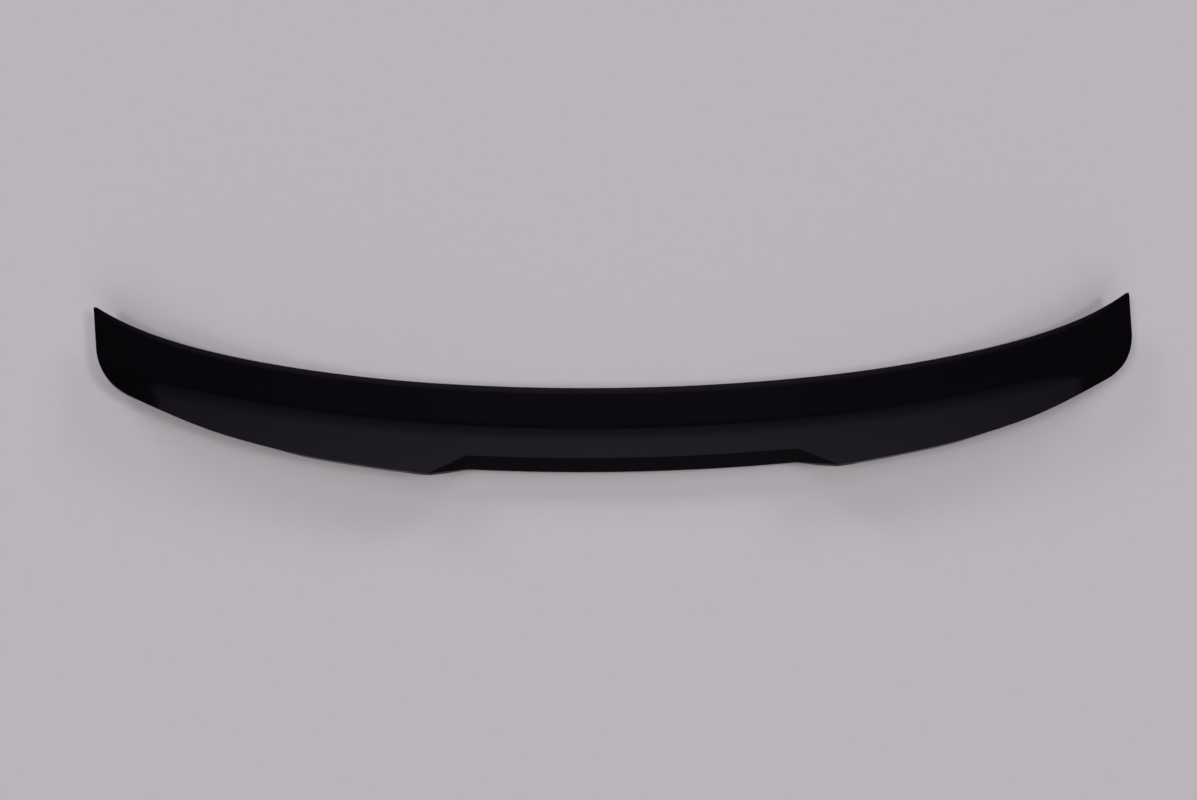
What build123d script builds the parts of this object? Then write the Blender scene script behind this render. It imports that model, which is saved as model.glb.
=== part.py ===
from build123d import *
import math
import os

# Plan shape seen from above, all sizes in mm
HALF_SPAN = 600.0
LEAD_BOW = 76.5
LEAD_HOOK = 25.5
HOOK_POWER = 10
PEAK_HALF = 222.0
PEAK_CHORD = 129.0
TRAIL_SAG = 22.0
END_LENGTH = 98.5
END_TUCK = 16.5
CORNER_RADIUS = 90.0

# Underside, flat in the middle and bowed up to the tips
FLAT_HALF = 215.0
TIP_RISE = 28.0

# Upper skin from the nose rearward: bevel, shallow land, bend, slightly hollow ramp
NOSE_HEIGHT = 3.5
BEVEL_CENTRE = 10.0
BEVEL_TIP = 7.0
LAND_HEIGHT = 5.7
LAND_ANGLE = 4.0
BEND_START = 38.0
BEND_RADIUS = 100.0
RAMP_ANGLE = 25.0
RAMP_RADIUS = 900.0

# Cut-back middle of the tail, a sloped facet with a flank up to each peak
RECESS_HALF = 182.0
RECESS_CHORD = 98.0
FACET_ANGLE = 33.0

# Rear wall, leaning out from its foot up to the lip
FOOT_CHORD = 99.5
FOOT_TURN = 202.0
FOOT_BLEND = 40.0
FOOT_BOW = 218.0
FOOT_POWER = 1.62
WALL_LEAN = 30.0

# Hollow underside with bonding lands and cross ribs
SKIN = 3.0
FRONT_LAND = 18.0
REAR_LAND = 12.0
FLANGE = 3.0
CAVITY_FRONT = 26.0
CAVITY_END = 24.0
OPENING_END = 34.0
RIB = 2.5
RIB_PITCH = 105.0
RIB_COUNT = 10
RIB_GAP = 4.0

# Spare length of the cutting shapes and sampling of the formula surfaces
SPARE = 25.0
SPAN_STEPS = 60
DEPTH_STEPS = 36

# Lengths that follow from the sizes above
NOSE_Y = FRONT_LAND / 2
ARC_RUN = HALF_SPAN - FLAT_HALF
BASE_RADIUS = (ARC_RUN**2 + TIP_RISE**2) / (2 * TIP_RISE)
LAND_SLOPE = math.tan(math.radians(LAND_ANGLE))
RAMP_SLOPE = math.tan(math.radians(RAMP_ANGLE))
FACET_SLOPE = math.tan(math.radians(FACET_ANGLE))
WALL_SLOPE = math.tan(math.radians(WALL_LEAN))
BEND_END = BEND_START + BEND_RADIUS * (math.sin(math.radians(RAMP_ANGLE)) - math.sin(math.radians(LAND_ANGLE)))
REACH_X = HALF_SPAN + SPARE
REACH_S = PEAK_CHORD + SPARE


def spread(start, end, steps):
    """Evenly spaced values from start to end."""
    return [start + (end - start) * i / steps for i in range(steps + 1)]


def skin_y(x):
    """Plan line that the depths of the upper skin are measured from, bowed forward to the tips."""
    return NOSE_Y + LEAD_BOW * (x / HALF_SPAN) ** 2


def skin_slope(x):
    """Slope of that line in plan."""
    return 2 * LEAD_BOW * x / HALF_SPAN**2


def lead_y(x):
    """Leading edge in plan, which hooks forward of that line near the tips."""
    return skin_y(x) + LEAD_HOOK * (abs(x) / HALF_SPAN) ** HOOK_POWER


def base_z(x):
    """Height of the underside, level in the middle and an arc outboard of it."""
    run = max(abs(x) - FLAT_HALF, 0.0)
    return BASE_RADIUS - math.sqrt(BASE_RADIUS**2 - run**2)


def base_slope(x):
    """Slope of the underside along the span."""
    run = max(abs(x) - FLAT_HALF, 0.0)
    return math.copysign(run / math.sqrt(BASE_RADIUS**2 - run**2), x)


def bend_angle(s):
    """Angle turned from level by the bend at a depth s behind the skin's plan line."""
    within = min(max(s, BEND_START), BEND_END) - BEND_START
    return math.asin(math.sin(math.radians(LAND_ANGLE)) + within / BEND_RADIUS)


def top_slope(s):
    """Slope of the upper skin along the chord."""
    return math.tan(bend_angle(s)) + max(s - BEND_END, 0.0) / RAMP_RADIUS


def top_height(s):
    """Height of the upper skin over the underside."""
    land = LAND_HEIGHT + min(s, BEND_START) * LAND_SLOPE
    bend = BEND_RADIUS * (math.cos(math.radians(LAND_ANGLE)) - math.cos(bend_angle(s)))
    run = max(s - BEND_END, 0.0)
    return land + bend + run * RAMP_SLOPE + run**2 / (2 * RAMP_RADIUS)


def foot_y(x):
    """Foot of the rear wall in plan, all but straight in the middle and bowed forward outboard of it."""
    run = abs(x) - FOOT_TURN
    blend = (math.sqrt(run**2 + FOOT_BLEND**2) + run) / 2
    return NOSE_Y - FOOT_CHORD + FOOT_BOW * (blend / HALF_SPAN) ** FOOT_POWER


def sheet(point, columns):
    """Smooth face through the points of a formula, over the whole span."""
    rows = spread(-REACH_X, REACH_X, SPAN_STEPS)
    return Face.make_surface_from_array_of_points([[point(x, c) for c in columns] for x in rows])


def above(height, columns):
    """Everything over a sheet whose height over the underside is given for x and s."""
    face = sheet(lambda x, s: (x, lead_y(x) - s, base_z(x) + height(x, s)), columns)
    return Solid.extrude(face, (0, 0, 2 * HALF_SPAN))


def above_top(depth):
    """Everything over the upper skin, or over its inner side at the given depth."""

    def point(x, s):
        slope = top_slope(s)
        lean = skin_slope(x) * slope + base_slope(x)
        inward = depth / math.sqrt(1 + slope**2 + lean**2)
        return (x + lean * inward, skin_y(x) - s - slope * inward, base_z(x) + top_height(s) - inward)

    face = sheet(point, spread(-2 * SPARE, REACH_S, DEPTH_STEPS))
    return Solid.extrude(face, (0, 0, 2 * HALF_SPAN))


def above_bevel():
    """Everything over the bevel along the nose."""

    def height(x, s):
        width = BEVEL_CENTRE + (BEVEL_TIP - BEVEL_CENTRE) * (x / HALF_SPAN) ** 2
        rise = top_height(skin_y(x) - lead_y(x) + width) - NOSE_HEIGHT
        return NOSE_HEIGHT + s * rise / width

    return above(height, [-SPARE, 0.0, SPARE])


def above_recess(depth):
    """Everything over the facet in the middle of the tail and over its two flanks."""
    drop = depth * math.sqrt(1 + FACET_SLOPE**2)
    climb = (PEAK_CHORD - RECESS_CHORD) * FACET_SLOPE + top_height(PEAK_CHORD) - top_height(RECESS_CHORD)
    rise = climb / (PEAK_HALF - RECESS_HALF)
    flank_drop = depth * math.sqrt(1 + FACET_SLOPE**2 + rise**2)

    def facet(x, s):
        return top_height(RECESS_CHORD) - (s - RECESS_CHORD) * FACET_SLOPE - drop

    def right_flank(x, s):
        return facet(x, s) + drop - flank_drop + (x - RECESS_HALF) * rise

    def left_flank(x, s):
        return right_flank(-x, s)

    cut = above(facet, spread(0.0, REACH_S, 2))
    cut &= above(right_flank, spread(-SPARE, REACH_S + SPARE, 2))
    cut &= above(left_flank, spread(-2 * SPARE, REACH_S + 2 * SPARE, 2))
    return cut


def behind_wall(depth):
    """Everything behind the rear wall, or behind its inner side at the given depth."""
    shift = depth * math.sqrt(1 + WALL_SLOPE**2)
    columns = [-2 * SPARE, 0.0, top_height(REACH_S)]
    face = sheet(lambda x, t: (x, foot_y(x) + shift - t * WALL_SLOPE, base_z(x) + t), columns)
    return Solid.extrude(face, (0, -2 * HALF_SPAN, 0))


def below_base(lift):
    """Everything under the underside, raised by the given lift."""
    end_z = base_z(REACH_X)
    with BuildSketch(Plane.XZ) as profile:
        with BuildLine():
            Line((-FLAT_HALF, 0), (FLAT_HALF, 0))
            right = TangentArc((FLAT_HALF, 0), (REACH_X, end_z), tangent=(1, 0))
            left = TangentArc((-FLAT_HALF, 0), (-REACH_X, end_z), tangent=(-1, 0))
            Polyline(right @ 1, (REACH_X, -2 * SPARE), (-REACH_X, -2 * SPARE), left @ 1)
        make_face()
    return Pos(0, 0, lift) * extrude(profile.sketch, amount=HALF_SPAN, both=True)


def plan(front, end, rear):
    """Plan face of the moulding, pulled in by the given amounts at its edges."""
    tip_x = HALF_SPAN - end
    tip_y = lead_y(tip_x) - front
    corner = (tip_x - END_TUCK, lead_y(HALF_SPAN) - END_LENGTH + rear)
    peak = (PEAK_HALF, lead_y(PEAK_HALF) - PEAK_CHORD + rear)
    with BuildSketch() as face:
        with BuildLine():
            Spline(*[(x, lead_y(x) - front) for x in spread(-tip_x, tip_x, SPAN_STEPS)])
            Polyline((tip_x, tip_y), corner)
            SagittaArc(corner, peak, TRAIL_SAG)
            Polyline(peak, (-peak[0], peak[1]))
            SagittaArc((-peak[0], peak[1]), (-corner[0], corner[1]), TRAIL_SAG)
            Polyline((-corner[0], corner[1]), (-tip_x, tip_y))
        make_face()
        ends = face.vertices().filter_by(lambda v: abs(abs(v.X) - corner[0]) < SKIN and v.Y < tip_y - SKIN)
        fillet(ends, CORNER_RADIUS)
    return face.sketch


def opening():
    """Plan face of the open underside between the bonding lands."""
    end_x = HALF_SPAN - OPENING_END
    xs = spread(-end_x, end_x, SPAN_STEPS)
    with BuildSketch() as face:
        with BuildLine():
            front = Spline(*[(x, lead_y(x) - FRONT_LAND) for x in xs])
            rear = Spline(*[(x, foot_y(x) + REAR_LAND) for x in xs])
            Line(front @ 0, rear @ 0)
            Line(front @ 1, rear @ 1)
        make_face()
    return face.sketch


def block(face):
    """Prism over a plan face, from under the underside to over the tail."""
    return Pos(0, 0, -SPARE) * extrude(face, amount=HALF_SPAN)


def ribs():
    """Cross ribs, kept clear of the panel that the spoiler is bonded to."""
    slab = Box(RIB, 2 * HALF_SPAN, 2 * HALF_SPAN)
    first = -RIB_PITCH * (RIB_COUNT - 1) / 2
    rows = [Pos(first + i * RIB_PITCH, 0, 0) * slab for i in range(RIB_COUNT)]
    return Part() + rows - below_base(RIB_GAP)


def shaped(body, depth):
    """A block trimmed to the upper skin, the recess and the rear wall at the given depth."""
    return body - above_top(depth) - above_recess(depth) - behind_wall(depth)


def hollow():
    """Space inside the moulding, over the flange and through the opening, less the ribs."""
    room = block(plan(CAVITY_FRONT, CAVITY_END, SKIN)) - below_base(FLANGE) + block(opening())
    return shaped(room, SKIN) - ribs()


def spoiler():
    """The whole moulding."""
    outer = shaped(block(plan(0.0, 0.0, 0.0)), 0.0) - above_bevel() - below_base(0.0)
    return outer - hollow()


os.makedirs("parts", exist_ok=True)
part = spoiler()
export_step(part, "parts/spoiler.step")
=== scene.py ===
import bpy
import math
from mathutils import Matrix, Vector


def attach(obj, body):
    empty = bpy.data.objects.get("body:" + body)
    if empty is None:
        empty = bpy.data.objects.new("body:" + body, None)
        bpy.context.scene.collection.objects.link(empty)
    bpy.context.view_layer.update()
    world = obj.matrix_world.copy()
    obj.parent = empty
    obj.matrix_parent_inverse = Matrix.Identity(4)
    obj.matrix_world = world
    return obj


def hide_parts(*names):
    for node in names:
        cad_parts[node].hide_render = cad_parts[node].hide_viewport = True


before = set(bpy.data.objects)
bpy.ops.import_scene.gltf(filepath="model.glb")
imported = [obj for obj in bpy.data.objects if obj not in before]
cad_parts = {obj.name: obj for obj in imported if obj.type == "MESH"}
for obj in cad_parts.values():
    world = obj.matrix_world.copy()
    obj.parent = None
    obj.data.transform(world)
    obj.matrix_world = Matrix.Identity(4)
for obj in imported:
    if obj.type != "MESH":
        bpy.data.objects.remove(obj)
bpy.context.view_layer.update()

# Sizes of the moulding in mm, the same as in the solid model
HALF_SPAN = 600.0
LEAD_BOW, LEAD_HOOK, HOOK_POWER = 76.5, 25.5, 10
PEAK_HALF, PEAK_CHORD = 222.0, 129.0
TRAIL_SAG = 22.0
END_LENGTH, END_TUCK, CORNER_RADIUS = 98.5, 16.5, 90.0
FLAT_HALF, TIP_RISE = 215.0, 28.0
NOSE_HEIGHT = 3.5
BEVEL_CENTRE, BEVEL_TIP = 10.0, 7.0
LAND_HEIGHT, LAND_ANGLE = 5.7, math.radians(4.0)
BEND_START, BEND_RADIUS = 38.0, 100.0
RAMP_ANGLE, RAMP_RADIUS = math.radians(25.0), 900.0
RECESS_HALF, RECESS_CHORD = 182.0, 98.0
FACET_SLOPE = math.tan(math.radians(33.0))
WALL_SLOPE = math.tan(math.radians(30.0))
SKIN, FRONT_LAND, REAR_LAND, FLANGE = 3.0, 18.0, 12.0, 3.0
RIB, RIB_PITCH, RIB_COUNT, RIB_GAP = 2.5, 105.0, 10, 4.0

# Finer forms of the tail: its edge wavers about the arc, and under it is an upright lip that leans out
# by the peaks, thins outboard and widens to the whole end face round the end corner
TRAIL_WAVE = 1.4
# Depth at which the facet of the recess ends
FACET_CHORD = 111.5
# Height of the lip by the peaks, outboard and in the recess, and its dip at the point of the peak
LIP_WING, LIP_SIDE, LIP_RECESS = 5.0, 0.8, 0.8
LIP_DIP, DIP_HALF = 2.2, 14.0
# Distance from the centre at which the lip starts to thin, and at which it is thin
LIP_FULL, LIP_THIN = 345.0, 400.0
# Lean of the lip, and how far outboard of the peak it is full and gone
LIP_LEAN, LEAN_FULL, LEAN_GONE = 1.1, 4.0, 30.0
# Share of the way round the end corner at which the lip is the whole end face, and the height of its
# lower border there
LIP_WIDE, EDGE_END = 0.55, 1.2
# Upper border of the lip: its drop at the peak, its least distance behind the crest, and its drop on the
# wings as a share of the lip
PEAK_DROP, EDGE_GAP, EDGE_SHARE = 0.6, 0.5, 0.12
# Easing of the recess corner, as a share of the flank, and of the peak in mm
CORNER_EASE, PEAK_EASE = 0.08, 1.5

# Upright thickness of the sloping skin over the hollow, and over the inner side of the rear wall
ROOF_SKIN, WALL_TOP_SKIN = 1.12 * SKIN, 1.15 * SKIN
# How far the ribs are let into the skin
RIB_LET_IN = 0.8

# Limits for the short sections by the tip, as shares of their depth: most of bevel and nose, least of foot
TIP_BEVEL, TIP_NOSE, TIP_FOOT = 0.5, 0.4, 0.5
# Share of the upper skin left free at each end for the rounds, and of a straight that a round may take
TOP_MARGIN, ROUND_LIMIT = 0.02, 0.45
# Least run that a height is shared out over
LEAST_RUN = 0.01

# Rounds of a section's corners, as a radius and the steps it is drawn with
PLAIN = (0, 0)
BASE_ROUND, NOSE_ROUND, BEVEL_ROUND = (0.5, 2), (0.7, 3), (2.5, 5)
CREST_ROUND, LIP_ROUND = (0.25, 5), (0.8, 4)
LAND_ROUND, INNER_ROUND, ROOF_ROUND = (0.3, 2), (0.5, 2), (0.8, 3)
# Radius at the inside points of the solid ends, which only keep the number of points the same
END_RADIUS = 0.1

# Steps along the upper skin, the inner roof and its part behind the ridge; points along the straights
TOP_STEPS, ROOF_STEPS, RIDGE_STEPS = 64, 24, 4
FACET_POINTS, LIP_POINTS, WALL_POINTS = 6, 2, 4
# Points that draw one corner of a bonding land
LAND_CORNER = LAND_ROUND[1] + 1
# Rounds inside a section, in order: rear land, flange, top of the rear wall, roof, front land
INNER_ROUNDS = [LAND_ROUND, LAND_ROUND, INNER_ROUND, ROOF_ROUND]
INNER_ROUNDS += [PLAIN] * (ROOF_STEPS - 1) + [INNER_ROUND, LAND_ROUND]

# Outboard of this station the sections fan round the end corner to the tip
FAN_X = 530.0
FAN_STEPS, FAN_FIRST, FAN_LAST = 70, 0.004, 0.985
# Runs of sections from the centre to there, as where each ends and its number of sections
RUNS = ((160, 40), (172, 6), (192, 20), (214, 16), (230, 24), (260, 15), (FAN_X, 60))
# Steps of the paths round the end corner and along the nose, and of a search
PATH_STEPS, NOSE_STEPS, SEARCH_STEPS = 60, 100, 50
# Edges that turn by more than this are drawn sharp
SHARP_ANGLE = math.radians(40)

# Sizes of the surface patterns in mm; the mould's real grain is finer than a render shows, so it is
# drawn coarser
RIPPLE_CELL, GRAIN_CELL, HAZE_PATCH, PAPER_CLOUD = 5.0, 1.4925, 71.43, 16.667
# Relief of the grain in mm, and the ripple's share of it
RELIEF, RIPPLE_SHARE = 0.04, 0.15
MM_PER_M = 1000

# Stage in mm: the paper floor's half width, the room wall's half width and height
FLOOR_HALF, ROOM_WALL_HALF, ROOM_WALL_TOP = 8000, 1700, 2600
# Room wall with its screen, in metres: where it stands, and how far its light is off the middle
ROOM_WALL_PLACE, ROOM_WALL_SHIFT = (0.09, 1.1, 0.0), 0.06
# Glow of the screen at its foot, what it loses a metre aside, and the share left of it a metre up
SCREEN_GLOW, SIDE_LOSS, GLOW_LEFT = 0.43, 0.64, 0.25

# Lengths that follow from the sizes above
NOSE_Y = FRONT_LAND / 2
BASE_RADIUS = ((HALF_SPAN - FLAT_HALF) ** 2 + TIP_RISE**2) / (2 * TIP_RISE)
BEND_END = BEND_START + BEND_RADIUS * (math.sin(RAMP_ANGLE) - math.sin(LAND_ANGLE))


def spread(start, end, steps):
    """Evenly spaced values from start up to, but not including, end."""
    return [start + (end - start) * i / steps for i in range(steps)]


def smooth_step(value, low, high):
    """Eased step from 0 at low to 1 at high."""
    t = min(max((value - low) / (high - low), 0.0), 1.0)
    return t * t * (3 - 2 * t)


def soft_max(a, b, width):
    """Larger of two values, eased where they cross."""
    return (a + b + math.sqrt((a - b) ** 2 + width**2)) / 2


def search(test, low, high):
    """Last value between low and high for which the test holds."""
    for _ in range(SEARCH_STEPS):
        middle = (low + high) / 2
        if test(middle):
            low = middle
        else:
            high = middle
    return low


def skin_y(x):
    """Plan line that the depths of the upper skin are measured from, bowed forward to the tips."""
    return NOSE_Y + LEAD_BOW * (x / HALF_SPAN) ** 2


def lead_y(x):
    """Leading edge in plan, which hooks forward of that line near the tips."""
    return skin_y(x) + LEAD_HOOK * (abs(x) / HALF_SPAN) ** HOOK_POWER


def base_z(x):
    """Height of the underside, level in the middle and an arc outboard of it."""
    run = max(abs(x) - FLAT_HALF, 0.0)
    return BASE_RADIUS - math.sqrt(BASE_RADIUS**2 - run**2)


def top_height(s):
    """Height of the upper skin over the underside at a depth s behind its plan line."""
    within = min(max(s, BEND_START), BEND_END) - BEND_START
    angle = math.asin(math.sin(LAND_ANGLE) + within / BEND_RADIUS)
    land = LAND_HEIGHT + min(s, BEND_START) * math.tan(LAND_ANGLE)
    bend = BEND_RADIUS * (math.cos(LAND_ANGLE) - math.cos(angle))
    run = max(s - BEND_END, 0.0)
    return land + bend + run * math.tan(RAMP_ANGLE) + run**2 / (2 * RAMP_RADIUS)


def bevel_width(x):
    """Width of the bevel along the nose, narrower to the tips."""
    return BEVEL_CENTRE + (BEVEL_TIP - BEVEL_CENTRE) * (x / HALF_SPAN) ** 2


def skin_z(p):
    """Height of the upper skin at a plan point, with the bevel along the nose."""
    depth = lead_y(p.x) - p.y
    width = bevel_width(p.x)
    if depth < width:
        rise = top_height(skin_y(p.x) - lead_y(p.x) + width) - NOSE_HEIGHT
        return base_z(p.x) + NOSE_HEIGHT + depth * rise / width
    return base_z(p.x) + top_height(skin_y(p.x) - p.y)


# Trailing edge in plan: a shallow arc from the peak to the end corner, which is rounded into the end
TIP = Vector((HALF_SPAN, lead_y(HALF_SPAN)))
CORNER = Vector((HALF_SPAN - END_TUCK, TIP.y - END_LENGTH))
PEAK = Vector((PEAK_HALF, lead_y(PEAK_HALF) - PEAK_CHORD))
CHORD = CORNER - PEAK
TRAIL_RADIUS = (CHORD.length**2 / 4 + TRAIL_SAG**2) / (2 * TRAIL_SAG)
TRAIL_CENTRE = (PEAK + CORNER) / 2 + Vector((-CHORD.y, CHORD.x)).normalized() * (TRAIL_RADIUS - TRAIL_SAG)


def trail_y(x):
    """Trailing edge in plan, a little flatter than its arc by the peak and fuller outboard of that."""
    share = min(max((abs(x) - PEAK_HALF) / (FAN_X - PEAK_HALF), 0.0), 1.0)
    wave = math.sin(2 * math.pi * share)
    arc = TRAIL_CENTRE.y - math.sqrt(TRAIL_RADIUS**2 - (abs(x) - TRAIL_CENTRE.x) ** 2)
    return arc + TRAIL_WAVE * wave * abs(wave)


def climb(x):
    """Share of the way from the recess to the peak, eased at the recess corner."""
    return soft_max(0.0, (abs(x) - RECESS_HALF) / (PEAK_HALF - RECESS_HALF), CORNER_EASE)


def crest_chord(x):
    """Depth of the rear edge of the upper skin: cut back in the middle, running out to the peaks."""
    recess = RECESS_CHORD + (PEAK_CHORD - RECESS_CHORD) * climb(x)
    return -soft_max(-recess, trail_y(x) - lead_y(x), PEAK_EASE)


def end_path():
    """Plan points from the trailing edge at FAN_X round the end corner to the tip."""
    side = (TIP - CORNER).normalized()
    inboard = Vector((-side.y, side.x))

    def centre_at(run):
        """Centre of a corner round that meets the end line this far from the corner."""
        return CORNER + side * run + inboard * CORNER_RADIUS

    # centre of the corner round, one radius inside both the end line and the trailing arc
    inside = TRAIL_RADIUS - CORNER_RADIUS
    centre = centre_at(search(lambda run: (centre_at(run) - TRAIL_CENTRE).length > inside, 0.0, END_LENGTH))
    out = (centre - TRAIL_CENTRE).normalized()
    leave = centre + out * CORNER_RADIUS
    turn = spread(math.atan2(out.y, out.x), math.atan2(-inboard.y, -inboard.x), PATH_STEPS)
    points = [Vector((x, trail_y(x))) for x in spread(FAN_X, leave.x, PATH_STEPS)]
    points += [centre + Vector((math.cos(a), math.sin(a))) * CORNER_RADIUS for a in turn]
    points += [(centre - inboard * CORNER_RADIUS).lerp(TIP, t) for t in spread(0.0, 1.0, PATH_STEPS)]
    return points + [TIP]


def along(points, share):
    """Point at a share of the length of a path."""
    lengths = [(b - a).length for a, b in zip(points, points[1:])]
    left = share * sum(lengths)
    for a, b, length in zip(points, points[1:], lengths):
        if left <= length:
            return a.lerp(b, left / length)
        left -= length
    return points[-1]


def station(x):
    """Plan line of the section at x, as leading point, rear point and fan share."""
    rear = trail_y(x) if x >= PEAK_HALF else lead_y(x) - PEAK_CHORD
    return Vector((x, lead_y(x))), Vector((x, rear)), 0.0


def stations():
    """Plan lines of the sections from the centre to one tip, as leading point, rear point and fan share."""
    xs, start = [], 0
    for end, steps in RUNS:
        xs += spread(start, end, steps)
        start = end
    rows = [station(x) for x in xs + [FAN_X]]
    nose = [Vector((x, lead_y(x))) for x in spread(FAN_X, HALF_SPAN, NOSE_STEPS)] + [TIP]
    tail = end_path()
    for share in spread(FAN_FIRST, FAN_LAST, FAN_STEPS):
        rows.append((along(nose, share), along(tail, share), share))
    return rows


def rounded(keys):
    """Outline through corner points (depth, height, radius, steps), with a small curve at each one."""
    out = []
    for i, (d, z, radius, steps) in enumerate(keys):
        here = Vector((d, z))
        if not steps:
            out.append(here)
            continue
        before = Vector(keys[i - 1][:2]) - here
        after = Vector(keys[(i + 1) % len(keys)][:2]) - here
        a = here + before.normalized() * min(radius, ROUND_LIMIT * before.length)
        b = here + after.normalized() * min(radius, ROUND_LIMIT * after.length)
        for k in range(steps + 1):
            t = k / steps
            out.append(a * (1 - t) ** 2 + here * 2 * t * (1 - t) + b * t**2)
    return out


def between(a, b, count):
    """Plain points on the straight between two corners, which keep its shading flat."""
    shares = spread(0, 1, count + 1)[1:]
    return [(a[0] + (b[0] - a[0]) * t, a[1] + (b[1] - a[1]) * t, *PLAIN) for t in shares]


def lip_height(x):
    """Height of the upright lip, lower at the point of the peak and thinning outboard."""
    dip = LIP_DIP * math.exp(-(((x - PEAK_HALF) / DIP_HALF) ** 2))
    return LIP_WING - dip + (LIP_SIDE - LIP_WING) * smooth_step(x, LIP_FULL, LIP_THIN)


def tail_edges(x, depth, share, crest, base):
    """Lower border of the facet or skin, and the lip's lower border, as (depth, height) in a section."""
    if share == 0.0 and x < PEAK_HALF:
        share_up = min(climb(x), 1.0)
        low = top_height(RECESS_CHORD) - (FACET_CHORD - RECESS_CHORD) * FACET_SLOPE
        z = base + low + (top_height(PEAK_CHORD) - PEAK_DROP - low) * share_up
        d = max(FACET_CHORD + (PEAK_CHORD - FACET_CHORD) * share_up, crest[0] + EDGE_GAP)
        lean = LIP_LEAN * smooth_step(x, RECESS_HALF, PEAK_HALF)
        return (d, z), (d + lean, z - LIP_RECESS - (lip_height(x) - LIP_RECESS) * math.sqrt(share_up))
    fade = 1 - smooth_step(share, 0.0, LIP_WIDE)
    height = crest[1] - base
    low = (height - lip_height(x)) * fade + EDGE_END * (1 - fade)
    lean = LIP_LEAN * (1 - smooth_step(x, PEAK_HALF + LEAN_FULL, PEAK_HALF + LEAN_GONE))
    return (depth, crest[1] - EDGE_SHARE * (height - low)), (depth + lean, base + low)


def section(lead, rear, share):
    """Closed outline of the moulding over a plan line, its painted points first, and their number."""
    way = rear - lead
    depth = way.length
    way.normalize()

    def base(d):
        """Height of the underside at a depth along the section."""
        return base_z(lead.x + way.x * d)

    def skin(d):
        """Height of the upper skin there."""
        return skin_z(lead + way * d)

    def on_bevel(d):
        """Whether that depth is on the bevel."""
        p = lead + way * d
        return lead_y(p.x) - p.y < bevel_width(p.x)

    crest_d = depth if share else min(crest_chord(lead.x), depth)
    crest = (crest_d, skin(crest_d))
    bevel_d = min(search(on_bevel, 0.0, depth), TIP_BEVEL * crest_d)
    edge, lower = tail_edges(lead.x, depth, share, crest, base(crest_d if share == 0.0 else depth))
    foot_d = max(lower[0] - (lower[1] - base(lower[0])) * WALL_SLOPE, TIP_FOOT * depth)
    foot = (foot_d, base(foot_d))

    level = base(0)
    outside = [(0.0, level, *BASE_ROUND), (0.0, level + min(NOSE_HEIGHT, TIP_NOSE * depth), *NOSE_ROUND)]
    outside.append((bevel_d, skin(bevel_d), *BEVEL_ROUND))
    start, stop = bevel_d + TOP_MARGIN * crest_d, crest_d - TOP_MARGIN * (crest_d - bevel_d)
    outside += [(d, skin(d), *PLAIN) for d in spread(start, stop, TOP_STEPS)]
    outside += [(stop, skin(stop), *PLAIN), (*crest, *CREST_ROUND)]
    outside += [*between(crest, edge, FACET_POINTS), (*edge, *LIP_ROUND)]
    outside += [*between(edge, lower, LIP_POINTS), (*lower, *LIP_ROUND)]
    outside += [*between(lower, foot, WALL_POINTS), (*foot, *BASE_ROUND)]

    def outer(d):
        """Height of the upper skin, or of the facet behind the crest."""
        if d <= crest_d:
            return skin(d)
        t = min((d - crest_d) / max(edge[0] - crest_d, LEAST_RUN), 1.0)
        return crest[1] + (edge[1] - crest[1]) * t

    wall_d = foot_d - SKIN * math.sqrt(1 + WALL_SLOPE**2)

    def under_roof(t):
        """Whether the inner side of the rear wall at this height is still under the skin."""
        d = wall_d + t * WALL_SLOPE
        return level + t < outer(d) - WALL_TOP_SKIN and d < lower[0] - SKIN

    if share:
        # solid end: the inside points lie along the underside
        count = len(INNER_ROUNDS)
        ds = [foot_d * (1 - (i + 1) / (count + 1)) for i in range(count)]
        inside = [(d, base(d), END_RADIUS, steps) for d, (_, steps) in zip(ds, INNER_ROUNDS)]
    else:
        rise = search(under_roof, FLANGE, lower[1] - level)
        roof_d = wall_d + rise * WALL_SLOPE
        ridge_d = min(crest_d, roof_d - SKIN)
        roof = spread(roof_d, ridge_d, RIDGE_STEPS)[1:]
        roof += spread(ridge_d, FRONT_LAND, ROOF_STEPS - RIDGE_STEPS)
        places = [(foot_d - REAR_LAND, level), (foot_d - REAR_LAND, level + FLANGE)]
        places += [(wall_d + FLANGE * WALL_SLOPE, level + FLANGE), (roof_d, level + rise)]
        places += [(d, outer(d) - ROOF_SKIN) for d in roof]
        places += [(FRONT_LAND, outer(FRONT_LAND) - SKIN), (FRONT_LAND, level)]
        inside = [(*place, *turn) for place, turn in zip(places, INNER_ROUNDS)]
    points = rounded(outside + inside)
    painted = len(rounded(outside))
    return [(*(lead + way * p.x), p.y) for p in points], painted


def mesh_object(name, verts, faces, material):
    """Mesh from points in mm, linked to the scene with its material."""
    mesh = bpy.data.meshes.new(name)
    mesh.from_pydata([tuple(c / MM_PER_M for c in v) for v in verts], [], faces)
    mesh.validate()
    mesh.materials.append(material)
    thing = bpy.data.objects.new(name, mesh)
    bpy.context.scene.collection.objects.link(thing)
    return thing


def paint_mask(piece, values):
    """Share of lacquer at each point: 1 on the outside, 0 inside the moulding."""
    piece.data.attributes.new("lacquer", "FLOAT", "POINT").data.foreach_set("value", values)


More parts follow.
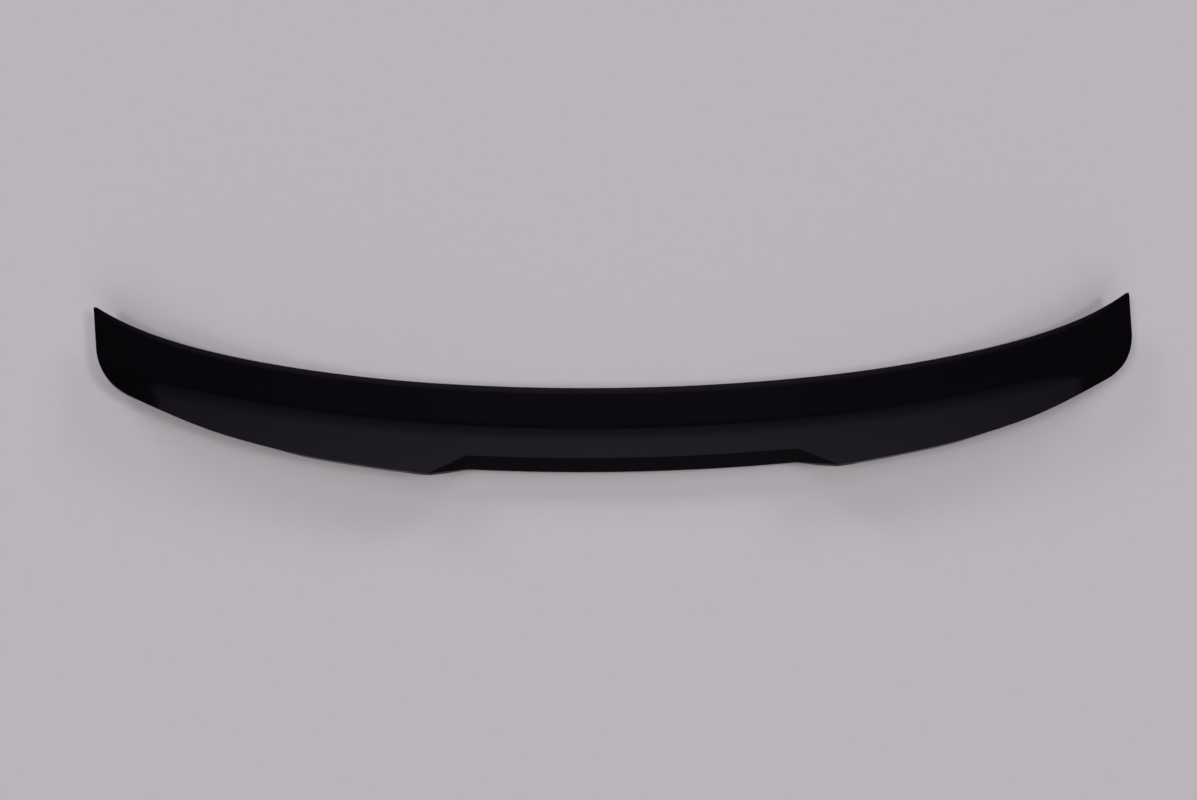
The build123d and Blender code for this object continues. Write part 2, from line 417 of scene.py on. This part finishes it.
def build_moulding(material):
    """The moulding, drawn over its sections from tip to tip and closed by a point at each tip."""
    sections = [section(*row) for row in stations()]
    painted = sections[0][1]
    right = [loop for loop, _ in sections]
    loops = [[(-x, y, z) for x, y, z in loop] for loop in reversed(right[1:])] + right
    size = len(loops[0])
    verts = [p for loop in loops for p in loop]
    faces = []
    for i in range(len(loops) - 1):
        a, b = i * size, (i + 1) * size
        for k in range(size):
            n = (k + 1) % size
            faces.append((a + k, a + n, b + n, b + k))
    for first, order in ((0, -1), (len(loops) * size - size, 1)):
        ring = list(range(first, first + size))[::order]
        verts.append(tuple(sum(verts[k][i] for k in ring) / size for i in range(3)))
        faces += [(len(verts) - 1, ring[k - 1], ring[k]) for k in range(size)]
    piece = mesh_object("spoiler_moulding", verts, faces, material)
    paint_mask(piece, [float(k < painted) for _ in loops for k in range(size)] + [1.0, 1.0])
    piece.data.shade_smooth()
    piece.data.set_sharp_from_angle(angle=SHARP_ANGLE)
    return piece


def build_ribs(material):
    """Cross ribs inside the moulding, let into the skin above and behind them."""
    verts, faces = [], []
    for i in range(RIB_COUNT):
        x = RIB_PITCH * (i - (RIB_COUNT - 1) / 2)
        loop, painted = section(*station(abs(x)))
        low = base_z(x) + RIB_GAP
        hollow = loop[painted + 2 * LAND_CORNER : -LAND_CORNER]
        outline = [(y - RIB_LET_IN, max(z + RIB_LET_IN, low)) for _, y, z in hollow]
        count = len(outline)
        ring = list(range(len(verts), len(verts) + count))
        for side in (-RIB / 2, RIB / 2):
            verts += [(x + side, y, z) for y, z in outline]
        faces += [ring, [k + count for k in ring[::-1]]]
        faces += [(ring[k], ring[k - 1], ring[k - 1] + count, ring[k] + count) for k in range(count)]
    piece = mesh_object("cross_ribs", verts, faces, material)
    paint_mask(piece, [0.0] * len(verts))
    return piece


def linear(code):
    """sRGB hex colour as linear RGBA."""
    parts = [int(code[i : i + 2], 16) / 255 for i in (1, 3, 5)]
    return tuple(c / 12.92 if c <= 0.04045 else ((c + 0.055) / 1.055) ** 2.4 for c in parts) + (1.0,)


def add(tree, kind, inputs, **settings):
    """Adds a node with its settings; each input is a value or another node's output."""
    node = tree.nodes.new(kind)
    for name, value in settings.items():
        setattr(node, name, value)
    for name, value in inputs.items():
        if isinstance(value, bpy.types.NodeSocket):
            tree.links.new(value, node.inputs[name])
        else:
            node.inputs[name].default_value = value
    return node


def new_material(name):
    """Material with an empty node tree, and that tree."""
    material = bpy.data.materials.new(name)
    material.use_nodes = True
    tree = material.node_tree
    tree.nodes.clear()
    return material, tree


def lacquered_abs():
    """Moulded ABS, sprayed black and clear-lacquered outside: a deep mirror black with a trace of the
    ripple that sprayed lacquer dries with. Inside it stays as moulded, a satin black with a fine grain."""
    material, tree = new_material("gloss_black_lacquered_abs")
    place = add(tree, "ShaderNodeTexCoord", {}).outputs["Object"]
    lacquer = add(tree, "ShaderNodeAttribute", {}, attribute_name="lacquer").outputs["Fac"]
    # ripple of the lacquer outside, grain of the mould inside
    ripple = add(
        tree,
        "ShaderNodeTexNoise",
        {"Vector": place, "Scale": MM_PER_M / RIPPLE_CELL, "Detail": 1.0},
    )
    grain = add(
        tree,
        "ShaderNodeTexNoise",
        {"Vector": place, "Scale": MM_PER_M / GRAIN_CELL, "Detail": 2.0},
    )
    # haze left by wiping
    haze = add(
        tree,
        "ShaderNodeTexNoise",
        {"Vector": place, "Scale": MM_PER_M / HAZE_PATCH, "Detail": 3.0},
    )
    faint = add(
        tree,
        "ShaderNodeMath",
        {0: ripple.outputs["Fac"], 1: RIPPLE_SHARE},
        operation="MULTIPLY",
    )
    relief = add(
        tree,
        "ShaderNodeMix",
        {"Factor": lacquer, "A": grain.outputs["Fac"], "B": faint.outputs["Value"]},
    )
    bump = add(
        tree,
        "ShaderNodeBump",
        {"Height": relief.outputs["Result"], "Distance": RELIEF / MM_PER_M},
    )
    gloss = add(
        tree,
        "ShaderNodeMapRange",
        {"Value": haze.outputs["Fac"], "From Min": 0.3, "From Max": 0.7, "To Min": 0.02, "To Max": 0.04},
    )
    rough = add(tree, "ShaderNodeMix", {"Factor": lacquer, "A": 0.48, "B": gloss.outputs["Result"]})
    black = add(
        tree,
        "ShaderNodeMix",
        {"Factor": haze.outputs["Fac"], 6: linear("#050305"), 7: linear("#050407")},
        data_type="RGBA",
    )
    colour = add(
        tree,
        "ShaderNodeMix",
        {"Factor": lacquer, 6: linear("#171618"), 7: black.outputs[2]},
        data_type="RGBA",
    )
    shader = add(
        tree,
        "ShaderNodeBsdfPrincipled",
        {
            "Base Color": colour.outputs[2],
            "Roughness": rough.outputs["Result"],
            "IOR": 1.5,
            "Normal": bump.outputs["Normal"],
        },
    )
    add(tree, "ShaderNodeOutputMaterial", {"Surface": shader.outputs["BSDF"]})
    return material


def paper():
    """Uncoated paper sheet: pale, matt and without a shine."""
    material, tree = new_material("pale_uncoated_paper")
    place = add(tree, "ShaderNodeTexCoord", {}).outputs["Object"]
    fibre = add(
        tree,
        "ShaderNodeTexNoise",
        {"Vector": place, "Scale": MM_PER_M / PAPER_CLOUD, "Detail": 4.0},
    )
    colour = add(
        tree,
        "ShaderNodeMix",
        {"Factor": fibre.outputs["Fac"], 6: linear("#b7b3b7"), 7: linear("#bbb7bb")},
        data_type="RGBA",
    )
    shader = add(
        tree,
        "ShaderNodeBsdfPrincipled",
        {"Base Color": colour.outputs[2], "Roughness": 0.95, "Specular IOR Level": 0.1},
    )
    add(tree, "ShaderNodeOutputMaterial", {"Surface": shader.outputs["BSDF"]})
    return material


def screen_light():
    """Dim glowing wall with a pale glowing screen standing against it, seen only in reflections: painted
    light, brightest low in its middle.
    """
    material, tree = new_material("studio_screen_glow")
    place = add(tree, "ShaderNodeTexCoord", {}).outputs["Object"]
    axes = add(tree, "ShaderNodeSeparateXYZ", {"Vector": place})
    across = add(tree, "ShaderNodeMath", {0: axes.outputs["X"]}, operation="ABSOLUTE").outputs["Value"]
    up = axes.outputs["Z"]
    # the screen's glow, halved every 0.5 m up and weaker to its sides
    fall = add(tree, "ShaderNodeMath", {0: GLOW_LEFT, 1: up}, operation="POWER").outputs["Value"]
    aside = add(tree, "ShaderNodeMath", {0: across, 1: across}, operation="MULTIPLY").outputs["Value"]
    middle = add(
        tree,
        "ShaderNodeMath",
        {0: aside, 1: -SIDE_LOSS, 2: SCREEN_GLOW},
        operation="MULTIPLY_ADD",
    ).outputs["Value"]
    glow = add(tree, "ShaderNodeMath", {0: fall, 1: middle}, operation="MULTIPLY").outputs["Value"]
    # its slightly soft side and top borders
    sides = add(
        tree,
        "ShaderNodeMapRange",
        {"Value": across, "From Min": 0.580, "From Max": 0.594, "To Min": 1.0, "To Max": 0.0},
        interpolation_type="SMOOTHSTEP",
    ).outputs["Result"]
    top = add(
        tree,
        "ShaderNodeMapRange",
        {"Value": up, "From Min": 0.89, "From Max": 0.91, "To Min": 1.0, "To Max": 0.0},
        interpolation_type="SMOOTHSTEP",
    ).outputs["Result"]
    shape = add(tree, "ShaderNodeMath", {0: sides, 1: top}, operation="MULTIPLY").outputs["Value"]
    screen = add(tree, "ShaderNodeMath", {0: glow, 1: shape}, operation="MULTIPLY").outputs["Value"]
    # the wall behind it, dimmer to the sides and a little brighter over the screen
    shifted = add(
        tree,
        "ShaderNodeMath",
        {0: axes.outputs["X"], 1: ROOM_WALL_SHIFT},
        operation="SUBTRACT",
    ).outputs["Value"]
    away = add(tree, "ShaderNodeMath", {0: shifted}, operation="ABSOLUTE").outputs["Value"]
    dim = add(
        tree,
        "ShaderNodeMapRange",
        {"Value": away, "From Min": 0.25, "From Max": 0.95, "To Min": 0.075, "To Max": 0.013},
        interpolation_type="SMOOTHSTEP",
    ).outputs["Result"]
    lift = add(
        tree,
        "ShaderNodeMapRange",
        {"Value": up, "From Min": 1.0, "From Max": 1.3, "To Min": 0.65, "To Max": 1.0},
        interpolation_type="SMOOTHSTEP",
    ).outputs["Result"]
    wall = add(tree, "ShaderNodeMath", {0: dim, 1: lift}, operation="MULTIPLY").outputs["Value"]
    level = add(tree, "ShaderNodeMath", {0: screen, 1: wall}, operation="MAXIMUM").outputs["Value"]
    light = add(tree, "ShaderNodeEmission", {"Color": linear("#f2e6ff"), "Strength": level})
    add(tree, "ShaderNodeOutputMaterial", {"Surface": light.outputs["Emission"]})
    return material


def lamp(name, place, width, strength):
    """Soft lamp, its width given in degrees, set so far off that it lights the whole floor evenly. It is
    kept out of the reflections, where it would show as a hard white disc."""
    data = bpy.data.lights.new(name, "SUN")
    data.angle = math.radians(width)
    data.energy = strength
    thing = bpy.data.objects.new(name, data)
    bpy.context.scene.collection.objects.link(thing)
    thing.location = place
    thing.rotation_euler = (-Vector(place)).to_track_quat("-Z", "Y").to_euler()
    thing.visible_glossy = False


def studio_world():
    """Dark room with a soft light straight overhead and a faint glow from the window behind the tail;
    the camera itself sees a pale backdrop."""
    world = bpy.data.worlds.new("studio")
    world.use_nodes = True
    tree = world.node_tree
    tree.nodes.clear()
    place = add(tree, "ShaderNodeTexCoord", {}).outputs["Generated"]
    axes = add(tree, "ShaderNodeSeparateXYZ", {"Vector": place})
    up = axes.outputs["Z"]
    room = add(
        tree,
        "ShaderNodeMapRange",
        {"Value": up, "From Min": 0.0, "From Max": 0.35, "To Min": 0.02, "To Max": 0.065},
        interpolation_type="SMOOTHSTEP",
    ).outputs["Result"]
    overhead = add(
        tree,
        "ShaderNodeMapRange",
        {"Value": up, "From Min": 0.90, "From Max": 0.97, "To Min": 0.0, "To Max": 1.06},
        interpolation_type="SMOOTHSTEP",
    ).outputs["Result"]
    behind = add(
        tree,
        "ShaderNodeMapRange",
        {"Value": axes.outputs["Y"], "From Min": -0.95, "From Max": -0.70, "To Min": 0.6, "To Max": 0.0},
        interpolation_type="SMOOTHSTEP",
    ).outputs["Result"]
    dim = add(tree, "ShaderNodeMath", {0: room, 1: behind}, operation="ADD").outputs["Value"]
    light = add(tree, "ShaderNodeMath", {0: dim, 1: overhead}, operation="ADD").outputs["Value"]
    seen = add(tree, "ShaderNodeLightPath", {}).outputs["Is Camera Ray"]
    strength = add(tree, "ShaderNodeMix", {"Factor": seen, "A": light, "B": 1.0})
    colour = add(
        tree,
        "ShaderNodeMix",
        {"Factor": seen, 6: linear("#fbf8ff"), 7: linear("#b9b5b9")},
        data_type="RGBA",
    )
    sky = add(
        tree,
        "ShaderNodeBackground",
        {"Color": colour.outputs[2], "Strength": strength.outputs["Result"]},
    )
    add(tree, "ShaderNodeOutputWorld", {"Surface": sky.outputs["Background"]})
    return world


def build_camera():
    """Camera set from the photograph's 1197 by 800 frame."""
    azimuth, elevation, roll = math.radians(8.831), math.radians(64.0), math.radians(6.881)
    distance = 1.628
    target = Vector((-0.03297, -0.00461, 0.0))
    level = math.cos(elevation)
    forward = Vector((math.sin(azimuth) * level, math.cos(azimuth) * level, -math.sin(elevation)))
    right = Vector((math.cos(azimuth), -math.sin(azimuth), 0.0))
    up = right.cross(forward)
    across = right * math.cos(roll) + up * math.sin(roll)
    upward = up * math.cos(roll) - right * math.sin(roll)
    spot = target - forward * distance
    data = bpy.data.cameras.new("camera")
    data.sensor_fit = "HORIZONTAL"
    data.sensor_width = 36.0
    data.lens = 43.0
    camera = bpy.data.objects.new("camera", data)
    bpy.context.scene.collection.objects.link(camera)
    rows = [(across[i], upward[i], -forward[i], spot[i]) for i in range(3)]
    camera.matrix_world = Matrix(rows + [(0, 0, 0, 1)])
    return camera


finish = lacquered_abs()
for piece in (build_moulding(finish), build_ribs(finish)):
    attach(piece, "root")
    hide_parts("spoiler")

floor_signs = ((-1, -1), (1, -1), (1, 1), (-1, 1))
floor_corners = [(a * FLOOR_HALF, b * FLOOR_HALF, 0) for a, b in floor_signs]
floor = mesh_object("paper_floor", floor_corners, [(0, 1, 2, 3)], paper())
wall_signs = ((-1, 0), (1, 0), (1, 1), (-1, 1))
wall_corners = [(a * ROOM_WALL_HALF, 0, b * ROOM_WALL_TOP) for a, b in wall_signs]
# wall and screen that glow as painted light in place of a lit screen; they show only in the lacquer's
# reflections
screen = mesh_object("glowing_front_screen", wall_corners, [(0, 1, 2, 3)], screen_light())
screen.location = ROOM_WALL_PLACE
screen.visible_camera = False
screen.visible_shadow = False
screen.visible_diffuse = False

lamp("left_softbox", place=(-2.2, -1.4, 3.5), width=12, strength=0.81)
lamp("right_softbox", place=(2.2, -1.4, 3.5), width=12, strength=0.81)
lamp("rear_window", place=(0, -3.76, 1.35), width=44, strength=2.0)
lamp("left_fill", place=(-1.52, 1.92, 1.2), width=20, strength=0.6)
lamp("right_fill", place=(1.68, 1.87, 1.2), width=20, strength=0.6)
bpy.context.scene.world = studio_world()
bpy.context.scene.camera = build_camera()
bpy.context.scene.view_settings.view_transform = "Standard"

bpy.context.view_layer.update()
